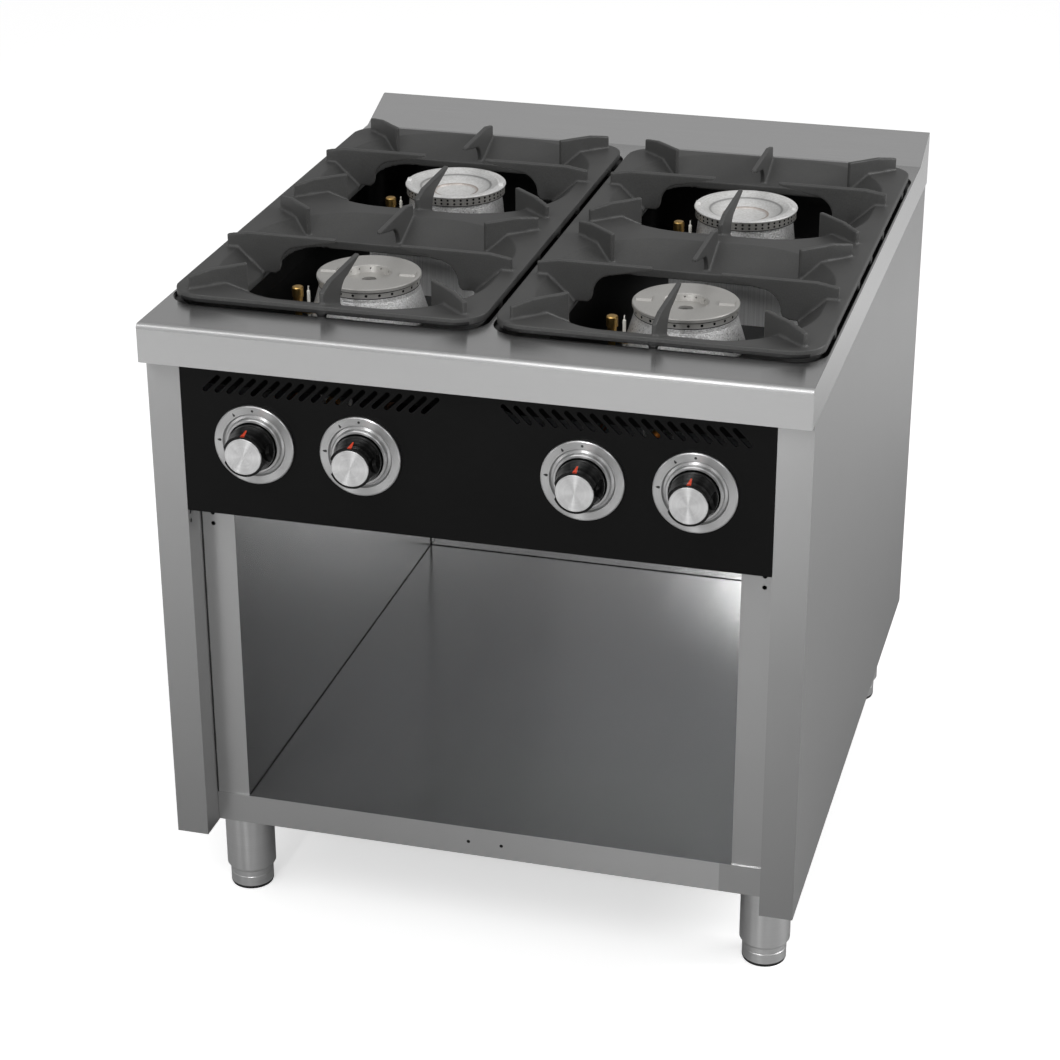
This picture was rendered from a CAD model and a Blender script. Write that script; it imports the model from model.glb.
"""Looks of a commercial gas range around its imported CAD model. Metres, +Z up, front towards -Y."""
import math

import bmesh
import bpy
from mathutils import Matrix, Vector
from mathutils.bvhtree import BVHTree


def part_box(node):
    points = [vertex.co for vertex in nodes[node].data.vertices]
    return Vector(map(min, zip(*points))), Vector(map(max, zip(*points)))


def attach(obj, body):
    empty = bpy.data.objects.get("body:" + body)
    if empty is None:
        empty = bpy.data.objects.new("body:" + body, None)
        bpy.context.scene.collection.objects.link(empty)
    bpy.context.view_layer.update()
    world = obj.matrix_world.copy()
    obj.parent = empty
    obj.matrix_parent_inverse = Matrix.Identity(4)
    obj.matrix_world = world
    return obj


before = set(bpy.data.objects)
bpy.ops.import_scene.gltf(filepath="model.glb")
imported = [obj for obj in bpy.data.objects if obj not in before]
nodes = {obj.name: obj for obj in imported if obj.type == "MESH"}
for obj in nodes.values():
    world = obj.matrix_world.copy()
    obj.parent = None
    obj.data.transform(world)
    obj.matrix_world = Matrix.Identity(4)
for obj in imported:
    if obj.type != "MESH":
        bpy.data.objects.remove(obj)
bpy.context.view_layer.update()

MM = 0.001
# Height of the worktop's top face over the floor.
WORKTOP_TOP = 0.833
SIDES = ("left", "right")
# Burners, valves, knobs and feet are all numbered alike.
NUMBERS = range(1, 5)


# ---------- camera, light and floor ----------

CAMERA_PLACE = Vector((0.8175, -3.1226, 1.9176))
CAMERA_AZIMUTH = math.radians(15.518)
CAMERA_ELEVATION = math.radians(25.016)
CAMERA_ROLL = math.radians(-0.183)
CAMERA_LENS = 89.77

SKY_STRENGTH = 0.62
BACKDROP_STRENGTH = 1.05
FLOOR_HALF = 20
FLOOR_GLOW = 0.5
FLOOR_WHITE = (0.92, 0.92, 0.92)


def add_camera():
    """The camera looks at the range from above and from its right."""
    az, el, roll = CAMERA_AZIMUTH, CAMERA_ELEVATION, CAMERA_ROLL
    back = Vector((math.sin(az) * math.cos(el), -math.cos(az) * math.cos(el), math.sin(el)))
    right = (-back).cross(Vector((0, 0, 1))).normalized()
    up = right.cross(-back)
    right_rolled = right * math.cos(roll) + up * math.sin(roll)
    up_rolled = up * math.cos(roll) - right * math.sin(roll)
    camera = bpy.data.objects.new("camera", bpy.data.cameras.new("camera"))
    camera.data.lens = CAMERA_LENS
    camera.data.clip_end = 50
    turn = Matrix((right_rolled, up_rolled, back)).transposed().to_4x4()
    camera.matrix_world = Matrix.Translation(CAMERA_PLACE) @ turn
    bpy.context.scene.collection.objects.link(camera)
    bpy.context.scene.camera = camera


def add_area_light(name, place, target, size, power):
    """A rectangular lamp that faces a point, with its power in watts."""
    light = bpy.data.lights.new(name, "AREA")
    light.shape = "RECTANGLE"
    light.size, light.size_y = size
    light.energy = power
    obj = bpy.data.objects.new(name, light)
    obj.location = place
    obj.rotation_euler = (Vector(target) - Vector(place)).to_track_quat("-Z", "Y").to_euler()
    bpy.context.scene.collection.objects.link(obj)


def add_lights():
    """A broad key light from the front left, one on the right side, and three small fills."""
    add_area_light("key", (-0.5, -2.1, 2.6), target=(0, -0.3, 0.7), size=(2.4, 1.2), power=23)
    add_area_light("side", (2.6, 0.5, 2.1), target=(0.3, 0, 0.7), size=(1.6, 1.2), power=42)
    # This one shines into the cabinet and under the burner caps.
    add_area_light("inner", (-0.35, -3.3, 1.9), target=(0.25, 0.35, 0.4), size=(0.25, 0.5), power=15)
    add_area_light("front", (1.7, -3.3, 2.1), target=(0, -0.1, 0.75), size=(1.0, 0.8), power=9)
    add_area_light("low", (-1.9, -2.7, 0.7), target=(0.3, 0.2, 0.35), size=(0.8, 0.6), power=3)


def add_world():
    """A soft studio sky: brighter overhead, darker towards the horizon, plain white to the eye."""
    world = bpy.data.worlds.new("studio")
    bpy.context.scene.world = world
    world.use_nodes = True
    tree = world.node_tree
    tree.nodes.clear()
    link = tree.links.new
    place = tree.nodes.new("ShaderNodeTexCoord")
    split = tree.nodes.new("ShaderNodeSeparateXYZ")
    link(place.outputs["Generated"], split.inputs[0])
    ramp = tree.nodes.new("ShaderNodeValToRGB")
    stops = ramp.color_ramp
    stops.elements[0].color = (0.75, 0.75, 0.75, 1)
    stops.elements[1].color = (0.95, 0.95, 0.95, 1)
    above_horizon = stops.elements.new(0.35)
    above_horizon.color = (0.62, 0.62, 0.62, 1)
    link(split.outputs["Z"], ramp.inputs["Fac"])
    sky = tree.nodes.new("ShaderNodeBackground")
    link(ramp.outputs["Color"], sky.inputs["Color"])
    sky.inputs["Strength"].default_value = SKY_STRENGTH
    white = tree.nodes.new("ShaderNodeBackground")
    white.inputs["Color"].default_value = (1, 1, 1, 1)
    white.inputs["Strength"].default_value = BACKDROP_STRENGTH
    path = tree.nodes.new("ShaderNodeLightPath")
    mix = tree.nodes.new("ShaderNodeMixShader")
    link(path.outputs["Is Camera Ray"], mix.inputs["Fac"])
    link(sky.outputs[0], mix.inputs[1])
    link(white.outputs[0], mix.inputs[2])
    out = tree.nodes.new("ShaderNodeOutputWorld")
    link(mix.outputs[0], out.inputs["Surface"])


def add_floor():
    """A plain pale floor that runs out of sight, lighter to the eye than to the steel above it."""
    mesh = bpy.data.meshes.new("floor")
    corners = [(x * FLOOR_HALF, y * FLOOR_HALF, 0) for x, y in ((-1, -1), (1, -1), (1, 1), (-1, 1))]
    mesh.from_pydata(corners, [], [(0, 1, 2, 3)])
    floor = bpy.data.objects.new("floor", mesh)
    bpy.context.scene.collection.objects.link(floor)
    paint = Paint("floor_white", FLOOR_WHITE, roughness=0.9)
    seen = paint.node("LightPath").outputs["Is Camera Ray"]
    # What the steel reflects is darker close to the range and pale from about 2 m away.
    share = paint.math("DIVIDE", paint.vector_math("LENGTH", paint.place()), 4.0)
    reflected = paint.ramp(share, (0.25, 0.36), (0.36, 0.42), (0.55, 0.95))
    paint.drive("Base Color", paint.mix_colour(seen, reflected, (*FLOOR_WHITE, 1)))
    paint.set("Specular IOR Level", 0.0)
    paint.set("Emission Color", (1, 1, 1, 1))
    paint.drive("Emission Strength", paint.times(seen, FLOOR_GLOW))
    mesh.materials.append(paint.material)


# ---------- material helpers ----------

class Paint:
    """A material with one Principled shader, and short ways to add nodes to it."""

    def __init__(self, name, colour, roughness, metallic=0.0):
        self.material = bpy.data.materials.new(name)
        self.material.use_nodes = True
        self.tree = self.material.node_tree
        self.shader = self.tree.nodes["Principled BSDF"]
        self.set("Base Color", (*colour, 1))
        self.set("Roughness", roughness)
        self.set("Metallic", metallic)

    def set(self, socket, value):
        self.shader.inputs[socket].default_value = value

    def node(self, kind, **settings):
        made = self.tree.nodes.new("ShaderNode" + kind)
        for key, value in settings.items():
            setattr(made, key, value)
        return made

    def feed(self, made, socket, value):
        """Links an output to a socket, or sets a plain value on it."""
        if isinstance(value, bpy.types.NodeSocket):
            self.tree.links.new(value, made.inputs[socket])
        elif value is not None:
            made.inputs[socket].default_value = value

    def place(self):
        return self.node("TexCoord").outputs["Object"]

    def normal(self):
        return self.node("NewGeometry").outputs["Normal"]

    def split(self, vector):
        made = self.node("SeparateXYZ")
        self.feed(made, 0, vector)
        return made.outputs

    def join(self, x, y, z):
        made = self.node("CombineXYZ")
        for socket, value in enumerate((x, y, z)):
            self.feed(made, socket, value)
        return made.outputs[0]

    def math(self, operation, a, b=None):
        made = self.node("Math", operation=operation)
        self.feed(made, 0, a)
        self.feed(made, 1, b)
        return made.outputs[0]

    def add(self, a, b):
        return self.math("ADD", a, b)

    def minus(self, a, b):
        return self.math("SUBTRACT", a, b)

    def times(self, a, b):
        return self.math("MULTIPLY", a, b)

    def above(self, a, limit):
        return self.math("GREATER_THAN", a, limit)

    def below(self, a, limit):
        return self.math("LESS_THAN", a, limit)

    def length(self, u, v):
        """The length of a flat vector."""
        return self.math("SQRT", self.add(self.times(u, u), self.times(v, v)))

    def blend(self, a, share, b):
        """Two values mixed, with that share of the first and the rest of the second."""
        return self.add(self.times(a, share), self.times(b, 1 - share))

    def vector_math(self, operation, a, b=None):
        made = self.node("VectorMath", operation=operation)
        self.feed(made, 0, a)
        self.feed(made, 1, b)
        return made.outputs["Value" if operation == "LENGTH" else "Vector"]

    def mix_colour(self, factor, a, b):
        made = self.node("Mix", data_type="RGBA")
        self.feed(made, "Factor", factor)
        self.feed(made, 6, a)
        self.feed(made, 7, b)
        return made.outputs[2]

    def noise(self, vector, scale, detail=3.0, roughness=0.5):
        made = self.node("TexNoise")
        self.feed(made, "Vector", vector)
        self.feed(made, "Scale", scale)
        self.feed(made, "Detail", detail)
        self.feed(made, "Roughness", roughness)
        return made.outputs["Fac"]

    def ramp(self, value, *stops):
        """Maps a value through (position, brightness or colour) stops."""
        made = self.node("ValToRGB")
        elements = made.color_ramp.elements
        while len(elements) < len(stops):
            elements.new(0.5)
        for element, (position, shade) in zip(elements, stops):
            element.position = position
            element.color = (*shade, 1) if isinstance(shade, tuple) else (shade, shade, shade, 1)
        self.feed(made, "Fac", value)
        return made.outputs["Color"]

    def bump(self, height, distance):
        made = self.node("Bump")
        self.feed(made, "Height", height)
        self.feed(made, "Distance", distance)
        self.feed(made, "Strength", 1.0)
        self.tree.links.new(made.outputs[0], self.shader.inputs["Normal"])

    def drive(self, socket, value):
        self.tree.links.new(value, self.shader.inputs[socket])

    def driven(self, socket):
        """What drives a socket so far."""
        return self.shader.inputs[socket].links[0].from_socket

    def recolour(self, mask, colour):
        """Covers the paint's colour where the mask is 1."""
        self.drive("Base Color", self.mix_colour(mask, self.driven("Base Color"), colour))

    def roughen(self, amount):
        self.drive("Roughness", self.add(self.driven("Roughness"), amount))

    def steep(self, axis):
        """1 where the surface faces along that axis, 0 elsewhere."""
        return self.above(self.math("ABSOLUTE", self.split(self.normal())[axis]), 0.7)


def tint(colour, factor):
    return tuple(min(1.0, c * factor) for c in colour)


def grey(shade):
    return (shade, shade, shade)


def grey_socket(shade):
    """A grey for a colour socket, which also holds the opacity."""
    return (shade, shade, shade, 1)


# ---------- metals and coats ----------

# Noise cells to the metre, along and across the brushing of sheet steel, and its depth.
FINE_STREAKS = (12.0, 1500.0)
COARSE_STREAKS = (5.0, 420.0)
STREAK_DEPTH = 0.012 * MM
# Noise cells to the metre outwards from a lathe's axis.
RINGS_PER_METRE = 1600.0


def brushed_steel(name, shade, roughness, grain=0.04, anisotropy=0.9, upright=False):
    """Stainless sheet with fine streaks along its brushing and faint clouding."""
    colour = grey(shade)
    paint = Paint(name, colour, roughness, metallic=1.0)
    place = paint.place()
    x, y, z = paint.split(place)
    flat = paint.steep("Z")
    side = paint.steep("X")
    not_flat = paint.minus(1.0, flat)
    across = paint.add(paint.times(z, not_flat), paint.times(y, flat))
    along = paint.add(paint.times(x, paint.minus(1.0, side)), paint.times(y, side))
    if upright:
        across, along = along, across
    fine_along, fine_across = FINE_STREAKS
    coarse_along, coarse_across = COARSE_STREAKS
    fine_grid = paint.join(paint.times(along, fine_along), paint.times(across, fine_across), 0.0)
    coarse_grid = paint.join(paint.times(along, coarse_along), paint.times(across, coarse_across), 3.0)
    streaks = paint.blend(paint.noise(fine_grid, 1.0, roughness=0.6), 0.6, paint.noise(coarse_grid, 1.0))
    cloud = paint.noise(place, 5.0, 4.0, 0.6)
    shades = (0.3, tint(colour, 1 - grain)), (0.7, tint(colour, 1 + grain))
    paint.drive("Base Color", paint.ramp(streaks, *shades))
    rough = paint.add(paint.times(streaks, 0.10), paint.times(cloud, 0.04))
    paint.drive("Roughness", paint.add(rough, roughness - 0.07))
    paint.bump(streaks, STREAK_DEPTH)
    paint.set("Anisotropic", anisotropy)
    if upright:
        paint.drive("Tangent", paint.vector_math("CROSS_PRODUCT", paint.normal(), (0.0, 0.0, 1.0)))
    else:
        paint.drive("Tangent", paint.join(0.0, flat, not_flat))
    return paint


def turned_steel(name, shade, roughness):
    """Steel turned on a lathe, with circular grain round the nearest knob's axis."""
    colour = grey(shade)
    paint = Paint(name, colour, roughness, metallic=1.0)
    x, y, z = paint.split(paint.place())
    u = paint.minus(x, nearest_knob_x(paint, x))
    v = paint.minus(z, knob_axis(1).z)
    outward = paint.times(paint.length(u, v), RINGS_PER_METRE)
    rings = paint.noise(paint.join(outward, y, 0.0), 1.0, roughness=0.7)
    cloud = paint.noise(paint.place(), 40.0)
    paint.drive("Base Color", paint.ramp(rings, (0.3, tint(colour, 0.9)), (0.7, tint(colour, 1.08))))
    rough = paint.add(paint.times(rings, 0.14), paint.times(cloud, 0.08))
    paint.drive("Roughness", paint.add(rough, roughness - 0.11))
    paint.bump(rings, 0.03 * MM)
    paint.set("Anisotropic", 0.9)
    paint.drive("Tangent", paint.join(u, 0.0, v))
    return paint


def cast_metal(name, colour, roughness, metallic, grain_mm, bump_mm, spread=0.25):
    """A casting: a grainy skin with small pits and a slightly uneven colour."""
    paint = Paint(name, colour, roughness, metallic)
    place = paint.place()
    grain = paint.noise(place, 1000 / grain_mm, 3.0, 0.65)
    cloud = paint.noise(place, 22.0, 4.0, 0.6)
    mixed = paint.blend(grain, 0.7, cloud)
    shades = (0.3, tint(colour, 1 - spread)), (0.7, tint(colour, 1 + spread))
    paint.drive("Base Color", paint.ramp(mixed, *shades))
    paint.drive("Roughness", paint.add(paint.times(mixed, 0.2), roughness - 0.1))
    paint.bump(grain, bump_mm * MM)
    return paint


def plain_metal(name, colour, roughness):
    """Small turned or drawn metal pieces, with light handling marks."""
    paint = Paint(name, colour, roughness, metallic=1.0)
    marks = paint.noise(paint.place(), 160.0, 4.0, 0.65)
    paint.drive("Base Color", paint.ramp(marks, (0.3, tint(colour, 0.82)), (0.7, tint(colour, 1.1))))
    paint.drive("Roughness", paint.add(paint.times(marks, 0.25), roughness - 0.12))
    paint.bump(marks, 0.05 * MM)
    return paint


def smooth_coat(name, colour, roughness, orange_peel_mm=0.01, specular=0.5):
    """Paint, enamel or moulded plastic, with a faint orange peel and slight clouding."""
    paint = Paint(name, colour, roughness)
    place = paint.place()
    peel = paint.noise(place, 700.0, 2.0)
    cloud = paint.noise(place, 12.0, 4.0, 0.6)
    paint.drive("Base Color", paint.ramp(cloud, (0.3, tint(colour, 0.85)), (0.7, tint(colour, 1.2))))
    paint.drive("Roughness", paint.add(paint.times(cloud, 0.12), roughness - 0.06))
    paint.bump(peel, orange_peel_mm * MM)
    paint.set("Specular IOR Level", specular)
    return paint


# ---------- the sheets ----------

def worktop_steel():
    """Worktop sheet whose recesses, under the grates, carry black enamel."""
    paint = brushed_steel("worktop_steel", 0.55, 0.17, anisotropy=0.85)
    x, y, z = paint.split(paint.place())
    grate_low, grate_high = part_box("grate_right")
    margin = 4 * MM
    low = paint.below(z, WORKTOP_TOP - 1.5 * MM)
    within = paint.below(paint.math("ABSOLUTE", x), grate_high.x)
    behind_front = paint.above(y, grate_low.y - margin)
    before_back = paint.below(y, grate_high.y + margin)
    recess = paint.times(paint.times(low, within), paint.times(behind_front, before_back))
    paint.recolour(paint.steep("Y"), grey_socket(0.5))
    paint.recolour(recess, grey_socket(0.004))
    paint.drive("Metallic", paint.minus(1.0, recess))
    # The folded front edge is brushed less finely than the top.
    fold = 6 * MM
    edge = paint.times(paint.below(y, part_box("worktop")[0].y + fold), paint.above(z, WORKTOP_TOP - fold))
    paint.roughen(paint.add(paint.times(recess, 0.15), paint.times(edge, 0.2)))
    return paint


def panel_steel():
    """Side sheet whose front flanges are duller, most of all low down and on the right."""
    paint = brushed_steel("panel_steel", 0.48, 0.36)
    x, _, z = paint.split(paint.place())
    height = paint.math("DIVIDE", z, WORKTOP_TOP)
    left_flange = paint.ramp(height, (0.1, 0.4), (0.5, 0.42), (0.95, 0.5))
    right_flange = paint.ramp(height, (0.1, 0.31), (0.55, 0.33), (0.95, 0.44))
    flange = paint.mix_colour(paint.above(x, 0.0), left_flange, right_flange)
    paint.recolour(paint.steep("Y"), flange)
    return paint


def cabinet_steel(name):
    """The bright, almost mirror-like sheet of the cabinet."""
    return brushed_steel(name, 0.72, 0.2)


def cabinet_front_steel():
    """Cabinet sheet, slightly wavy, bright inside and duller on the posts and the shelf's lip."""
    paint = cabinet_steel("cabinet_front_steel")
    x, y, _ = paint.split(paint.place())
    streaks = paint.shader.inputs["Normal"].links[0].from_node.inputs["Height"].links[0].from_socket
    waves = paint.noise(paint.join(paint.times(x, 15.0), paint.times(y, 2.5), 0.0), 1.0, 1.0)
    relief = paint.add(paint.times(streaks, STREAK_DEPTH), paint.times(waves, 0.7 * MM))
    paint.bump(relief, 1.0)
    front = paint.steep("Y")
    right_post = paint.above(x, 0.3)
    paint.recolour(front, paint.mix_colour(right_post, grey_socket(0.52), grey_socket(0.4)))
    paint.roughen(paint.times(front, 0.12))
    return paint


def leg_steel():
    """Tube steel for the legs, with a dark plastic pad where a foot meets the floor."""
    paint = brushed_steel("leg_steel", 0.8, 0.31)
    above_pad = paint.above(paint.split(paint.place())[2], 4.2 * MM)
    paint.recolour(paint.minus(1.0, above_pad), grey_socket(0.01))
    paint.drive("Metallic", above_pad)
    return paint


# ---------- grates and burners ----------

def grate_iron():
    """Grey iron, with soot along the lower edge of each grate's front rim."""
    paint = cast_metal("grate_iron", (0.052, 0.052, 0.051), 0.5, metallic=0.0, grain_mm=1.6, bump_mm=0.05)
    _, y, z = paint.split(paint.place())
    low = paint.below(z, WORKTOP_TOP + 7 * MM)
    rim = paint.below(y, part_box("grate_left")[0].y + 9 * MM)
    paint.recolour(paint.times(low, rim), grey_socket(0.002))
    return paint


def from_burner_axis(paint, number):
    """Offsets from the axis of the nearest of two burners that mirror each other."""
    low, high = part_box(f"burner_cap_{number}")
    middle = (low + high) / 2
    x, y, _ = paint.split(paint.place())
    axis_x = paint.times(paint.math("SIGN", x), abs(middle.x))
    return paint.minus(x, axis_x), paint.minus(y, middle.y)


def blacken_ports(paint, number, count, rows_mm, wall_mm, port_mm):
    """Makes the flame ports of a crown sooty; its rows are given below the worktop."""
    u, v = from_burner_axis(paint, number)
    z = paint.split(paint.place())[2]
    turn = paint.times(paint.math("ARCTAN2", v, u), count / (2 * math.pi))
    off = paint.math("ABSOLUTE", paint.minus(turn, paint.math("ROUND", turn)))
    aside = paint.times(off, 2 * math.pi * wall_mm * MM / count)
    for row in rows_mm:
        above = paint.minus(z, WORKTOP_TOP - row * MM)
        paint.recolour(paint.below(paint.length(aside, above), port_mm * MM), grey_socket(0.004))


def rear_cap_metal():
    """Cast caps with a brown heat ring round their flat middle and a dark one round their dish."""
    paint = cast_metal("rear_cap_metal", (0.88, 0.87, 0.84), 0.34,
                       metallic=0.5, grain_mm=3.2, bump_mm=0.25, spread=0.22)
    u, v = from_burner_axis(paint, 3)
    low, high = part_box("burner_cap_3")
    share = paint.math("DIVIDE", paint.length(u, v), (high.x - low.x) / 2)
    middle_ring = (0.38, 1.0), (0.43, (0.42, 0.33, 0.28)), (0.46, 0.95)
    dish_ring = (0.66, 0.8), (0.7, 0.3), (0.73, 0.85), (0.9, 1.0)
    rings = paint.ramp(share, *middle_ring, *dish_ring)
    paint.drive("Base Color", paint.vector_math("MULTIPLY", paint.driven("Base Color"), rings))
    return paint


# ---------- knobs ----------

def knob_axis(number):
    """The middle of a knob's cap."""
    low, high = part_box(f"knob_cap_{number}")
    return (low + high) / 2


def nearest_knob_x(paint, x):
    """The x of the nearest knob axis, so that one material can turn round all four."""
    outer, inner = abs(knob_axis(1).x), abs(knob_axis(3).x)
    far = paint.above(paint.math("ABSOLUTE", x), (outer + inner) / 2)
    nearest = paint.add(paint.times(far, outer - inner), inner)
    return paint.times(nearest, paint.math("SIGN", x))


# ---------- what each CAD node wears ----------

def dress(names, paint, bevel_mm=0.0):
    """Gives CAD nodes their material and, where asked, rounds their sharp edges."""
    for name in names:
        node = nodes[name]
        node.data.materials.clear()
        node.data.materials.append(paint.material)
        if bevel_mm:
            bevel = node.modifiers.new("edges", "BEVEL")
            bevel.width = bevel_mm * MM
            bevel.segments = 2
            bevel.limit_method = "ANGLE"
            bevel.angle_limit = math.radians(35)
            bevel.harden_normals = True


def round_like_a_casting(name):
    """Rounds a node's edges and corners as sand casting does."""
    node = nodes[name]
    remesh = node.modifiers.new("skin", "REMESH")
    remesh.mode = "VOXEL"
    remesh.voxel_size = 1.5 * MM
    remesh.use_smooth_shade = True
    smooth = node.modifiers.new("fillets", "SMOOTH")
    smooth.factor = 0.5
    smooth.iterations = 2
    thin = node.modifiers.new("thin", "DECIMATE")
    thin.ratio = 0.16


def numbered(stem, numbers=NUMBERS):
    return [f"{stem}_{i}" for i in numbers]


def sided(stem):
    return [f"{stem}_{side}" for side in SIDES]


def dress_casing():
    """The worktop, the panels, the cabinet, the base rails and the legs with their feet."""
    dress(["worktop"], worktop_steel(), 0.35)
    dress(sided("side_panel"), panel_steel(), 0.3)
    dress(["cabinet_back"], cabinet_steel("cabinet_steel"), 0.3)
    dress(sided("cabinet_side") + ["cabinet_shelf"], cabinet_front_steel(), 0.3)
    galvanised = cast_metal("galvanised", (0.42, 0.43, 0.44), 0.42,
                            metallic=1.0, grain_mm=14.0, bump_mm=0.01)
    dress(["cabinet_ceiling", "rear_panel"] + sided("base_rail"), galvanised, 0.3)
    dress(["control_panel"], smooth_coat("panel_black", grey(0.003), 0.38, specular=0.12), 0.25)
    dress(["leg_tubes"] + numbered("foot"), leg_steel(), 0.3)


def dress_wells_and_grates():
    """The black wells with their bright baffles, and the grates."""
    dress(sided("burner_well"), smooth_coat("well_enamel", grey(0.006), 0.3))
    baffle = brushed_steel("baffle_steel", 0.85, 0.5, grain=0.3, upright=True)
    baffle.set("Metallic", 0.15)
    dress(["well_baffles"], baffle, 0.3)
    dress(sided("grate"), grate_iron())
    for name in sided("grate"):
        round_like_a_casting(name)


def dress_burners():
    """Bases, crowns and caps, and the ceramic of the spark electrodes."""
    front, rear = (1, 2), (3, 4)
    casting = cast_metal("burner_casting", (0.95, 0.94, 0.92), 0.3,
                         metallic=0.6, grain_mm=2.2, bump_mm=1.0, spread=0.5)
    dress(numbered("burner_base"), casting)
    machined = {"metallic": 0.5, "grain_mm": 1.6, "bump_mm": 0.06, "spread": 0.12}
    front_cap = cast_metal("front_cap_metal", (0.46, 0.45, 0.43), 0.4, **machined)
    dress(numbered("burner_cap", front), front_cap)
    front_crown = cast_metal("front_crown_metal", (0.5, 0.49, 0.47), 0.4, **machined)
    blacken_ports(front_crown, 1, count=24, rows_mm=(15,), wall_mm=61, port_mm=1.7)
    dress(numbered("burner_crown", front), front_crown)
    dress(numbered("burner_cap", rear), rear_cap_metal())
    rear_crown = cast_metal("rear_crown_metal", (0.38, 0.37, 0.35), 0.4,
                            metallic=0.6, grain_mm=1.4, bump_mm=0.08)
    blacken_ports(rear_crown, 3, count=48, rows_mm=(7.9, 12.7), wall_mm=63.3, port_mm=1.5)
    dress(numbered("burner_crown", rear), rear_crown)
    dress(["spark_electrodes"], smooth_coat("ceramic", (0.8, 0.78, 0.72), 0.25))


def dress_gas_train():
    """Valves, pilots, pipes and the small fasteners."""
    brass_nodes = ["pilot_burners", "injectors", "valve_bodies"] + numbered("valve_plug")
    dress(brass_nodes, plain_metal("brass", (0.62, 0.40, 0.14), 0.32))
    dress(["supply_pipes", "pilot_pipes"], plain_metal("copper_pipe", (0.6, 0.28, 0.14), 0.35))
    dress(["gas_manifold", "gas_inlet_pipe"], plain_metal("pipe_steel", (0.4, 0.4, 0.38), 0.45))
    dress(numbered("valve_spindle") + ["rear_screws"], plain_metal("spindle_steel", grey(0.6), 0.25))


def dress_knobs():
    """Black knob bodies, with turned steel caps and bezels."""
    plastic = smooth_coat("knob_plastic", grey(0.003), 0.2, orange_peel_mm=0.003, specular=0.22)
    dress(numbered("knob_body"), plastic)
    dress(["knob_bezels"], turned_steel("dial_steel", 0.53, 0.33))
    dress(numbered("knob_cap"), turned_steel("cap_steel", 0.72, 0.33))


# ---------- pieces that only Blender makes ----------

def solid_of(name, rings, body, paint):
    """A closed skin through rings of equal length, capped at both ends, riding on a body."""
    work = bmesh.new()
    loops = [[work.verts.new(point) for point in ring] for ring in rings]
    for a, b in zip(loops, loops[1:]):
        for i in range(len(a)):
            j = (i + 1) % len(a)
            work.faces.new((a[i], a[j], b[j], b[i]))
    work.faces.new(list(reversed(loops[0])))
    work.faces.new(loops[-1])
    bmesh.ops.recalc_face_normals(work, faces=work.faces)
    mesh = bpy.data.meshes.new(name)
    work.to_mesh(mesh)
    work.free()
    mesh.materials.append(paint.material)
    piece = bpy.data.objects.new(name, mesh)
    bpy.context.scene.collection.objects.link(piece)
    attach(piece, body)


def round_of(steps):
    """Angles all the way round, without the last one's repeat."""
    return [2 * math.pi * i / steps for i in range(steps)]


def add_pointer(number, paint):
    """The red pointer moulded into a knob's flank, from its cap towards the panel."""
    axis = knob_axis(number)
    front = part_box(f"knob_body_{number}")[0].y
    flank = BVHTree.FromObject(nodes[f"knob_body_{number}"], bpy.context.evaluated_depsgraph_get())
    start, end, steps = 0.5 * MM, 15 * MM, 8
    wide, narrow = 2.6 * MM, 0.8 * MM
    proud, thick = Vector((0, 0, 0.18 * MM)), Vector((0, 0, 0.6 * MM))
    rings = []
    for i in range(steps + 1):
        t = i / steps
        y = front + start + (end - start) * t
        half = wide + (narrow - wide) * t
        ring = []
        for x in (-half, -half / 2, 0, half / 2, half):
            hit = flank.ray_cast(Vector((axis.x + x, y, axis.z + 0.1)), Vector((0, 0, -1)))[0]
            ring.append(hit + proud)
        rings.append(ring + [point - thick for point in reversed(ring)])
    solid_of(f"knob_pointer_{number}", rings, f"knob_{number}", paint)


def add_dial_marks(number, paint):
    """Printed marks on a bezel, a disc and two flames, and the dark window in its raised ring."""
    axis = knob_axis(number)
    face = BVHTree.FromObject(nodes["knob_bezels"], bpy.context.evaluated_depsgraph_get())
    mark_r = 43.6 * MM
    window_inner_r, window_outer_r = 30.6 * MM, 33.6 * MM

    def on_face(out, distance):
        """The point of the bezel's front at a distance from the axis, along a direction."""
        before = Vector((axis.x, axis.y - 0.05, axis.z)) + out * distance
        return face.ray_cast(before, Vector((0, 1, 0)))[0]

    def upright(angle, outline):
        """An outline in millimetres round a point on the dial, drawn upright at that clock angle."""
        turn = math.radians(angle)
        out = Vector((math.sin(turn), 0, math.cos(turn)))
        side = Vector((math.cos(turn), 0, -math.sin(turn)))
        middle = on_face(out, mark_r)
        return [[middle + (side * u + out * v + Vector((0, y, 0))) * MM for u, v in outline]
                for y in (-0.1, 0.3)]

    def flame(size):
        """A drop with its point up."""
        return [(size * 0.62 * math.sin(a) * math.sin(a / 2) ** 1.5, size * 0.8 * math.cos(a))
                for a in round_of(14)]

    def disc(size):
        return [(size * math.cos(a), size * math.sin(a)) for a in round_of(16)]

    marks = (("off", 0, disc(1.6)), ("low", -33, flame(3.2)), ("high", -86, flame(3.7)))
    for label, angle, outline in marks:
        solid_of(f"dial_{label}_{number}", upright(angle, outline), "range_body", paint)
    window = []
    lift, sink = Vector((0, -0.15 * MM, 0)), Vector((0, 0.6 * MM, 0))
    steps = 8
    for i in range(steps + 1):
        turn = math.radians(80 + 20 * i / steps)
        out = Vector((math.sin(turn), 0, math.cos(turn)))
        inner, outer = on_face(out, window_inner_r), on_face(out, window_outer_r)
        window.append([inner + lift, outer + lift, outer + sink, inner + sink])
    solid_of(f"dial_window_{number}", window, "range_body", paint)


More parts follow.
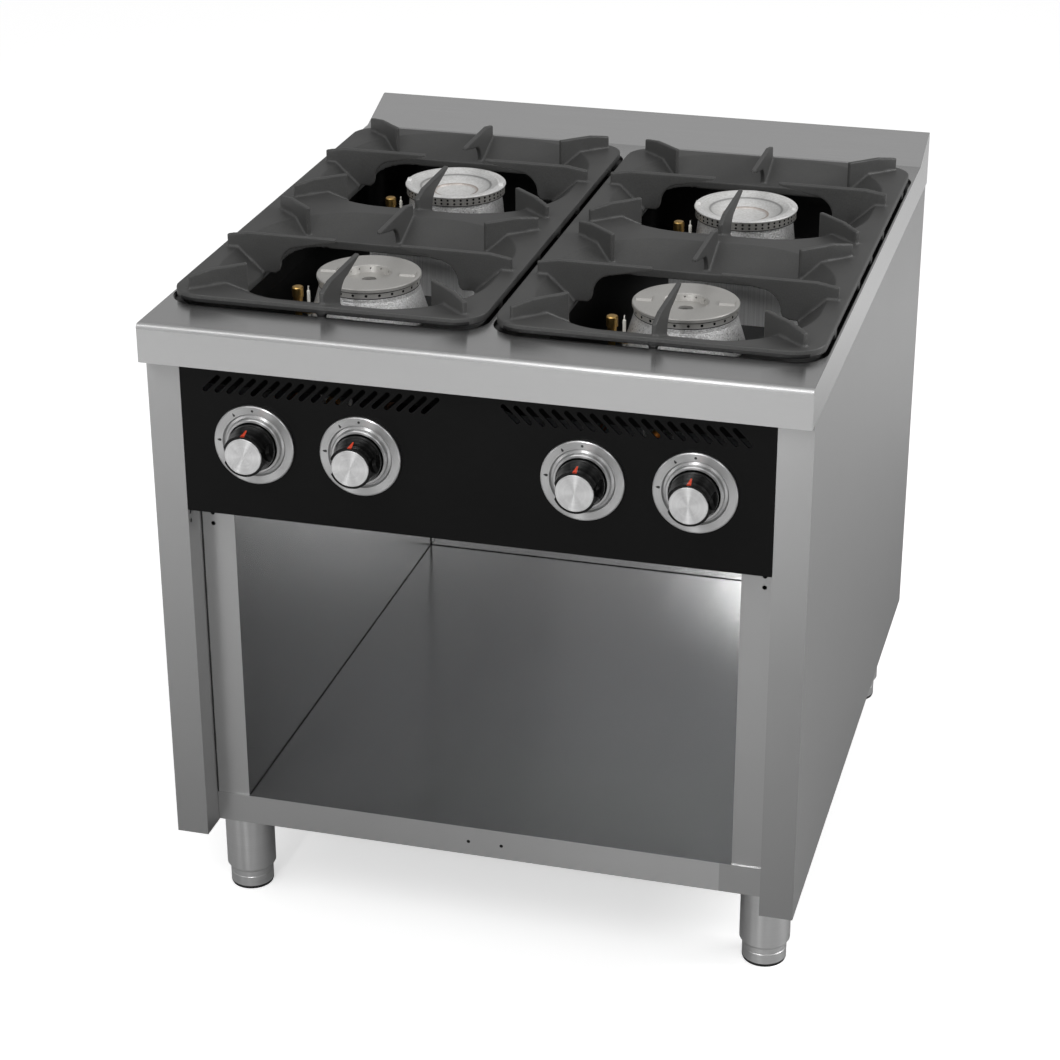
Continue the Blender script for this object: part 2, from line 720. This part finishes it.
def add_bead(name, start, end, towards, paint):
    """A thin sealing bead along a corner, filling it between two directions."""
    start, end = Vector(start), Vector(end)
    a, b = (Vector(direction) * 1.3 * MM for direction in towards)
    steps = 24
    rings = []
    for i in range(steps + 1):
        corner = start.lerp(end, i / steps)
        swell = 1.0 + 0.12 * math.sin(i * 2.3)
        rings.append([corner, corner + a * swell, corner + (a + b) * 0.45 * swell, corner + b * swell])
    solid_of(name, rings, "range_body", paint)


def add_cabinet_beads():
    """Beads in the corners of the cabinet, and in the joints between its posts and the side panels."""
    dark = smooth_coat("sealant", grey(0.012), 0.45)
    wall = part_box("cabinet_back")[1].x
    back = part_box("cabinet_back")[0].y
    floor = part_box("cabinet_shelf")[1].z
    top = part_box("cabinet_ceiling")[0].z
    post_low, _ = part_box("cabinet_side_left")
    front = post_low.y
    into, up, down = Vector((0, -1, 0)), Vector((0, 0, 1)), Vector((0, 0, -1))
    for side, sign in zip(SIDES, (-1, 1)):
        x = sign * wall
        inward = Vector((-sign, 0, 0))
        add_bead(f"bead_floor_{side}", (x, front + 4 * MM, floor), (x, back, floor), (inward, up), dark)
        add_bead(f"bead_corner_{side}", (x, back, floor), (x, back, top), (inward, into), dark)
        add_bead(f"bead_top_{side}", (x, front + 4 * MM, top), (x, back, top), (inward, down), dark)
    add_bead("bead_back_floor", (-wall, back, floor), (wall, back, floor), (into, up), dark)
    add_bead("bead_back_top", (-wall, back, top), (wall, back, top), (into, down), dark)
    flange_width = 41.5 * MM
    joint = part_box("side_panel_right")[1].x - flange_width
    for side, sign in zip(SIDES, (-1, 1)):
        x = sign * joint
        inward = Vector((-sign, 0, 0))
        add_bead(f"bead_post_{side}", (x, front, post_low.z), (x, front, top), (inward, into), dark)


def add_burner_seams(number, soot):
    """Soot-dark joints under a burner's cap and under its crown."""
    low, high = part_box(f"burner_cap_{number}")
    middle = (low + high) / 2
    crown_low, crown_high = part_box(f"burner_crown_{number}")
    wall = (crown_high.x - crown_low.x) / 2 - 0.1 * MM
    up = Vector((0, 0, 0.5 * MM))
    steps = 72
    for label, z in (("cap", crown_high.z), ("crown", crown_low.z)):
        rings = []
        for i in range(steps + 1):
            a = 2 * math.pi * i / steps
            out = Vector((math.cos(a), math.sin(a), 0))
            joint = Vector((middle.x, middle.y, z)) + out * wall
            inner, outer = joint - out * MM, joint + out * 0.35 * MM
            rings.append([inner - up, outer - up, outer + up, inner + up])
        name = f"burner_seam_{label}_{number}"
        solid_of(name, rings, f"burner_head_{number}", soot)


def add_lip_nuts():
    """Blind rivet nuts behind the two holes in the shelf's lip, dark inside."""
    paint = plain_metal("rivet_nut", grey(0.02), 0.5)
    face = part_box("cabinet_shelf")[0].y + 1.9 * MM
    hole_x, hole_z = 21.5 * MM, 154 * MM
    profile = ((2.5, 0.0), (4.2, 0.0), (4.2, 1.2), (3.4, 1.8), (3.4, 9.0), (2.6, 9.6))
    for side, x in zip(SIDES, (-hole_x, hole_x)):
        rings = [
            [Vector((x + radius * MM * math.cos(a), face + depth * MM, hole_z + radius * MM * math.sin(a)))
             for a in round_of(20)]
            for radius, depth in profile
        ]
        solid_of(f"lip_nut_{side}", rings, "range_body", paint)


def add_knob_and_burner_details():
    """The pieces that every knob, and every burner, carries."""
    red = smooth_coat("pointer_red", (0.75, 0.055, 0.01), 0.35)
    ink = smooth_coat("dial_ink", grey(0.01), 0.5)
    soot = smooth_coat("soot", grey(0.012), 0.6)
    for number in NUMBERS:
        add_pointer(number, red)
        add_dial_marks(number, ink)
        add_burner_seams(number, soot)


add_camera()
add_world()
add_floor()
add_lights()
bpy.context.scene.view_settings.view_transform = "Standard"

dress_casing()
dress_wells_and_grates()
dress_burners()
dress_gas_train()
dress_knobs()
add_knob_and_burner_details()
add_cabinet_beads()
add_lip_nuts()
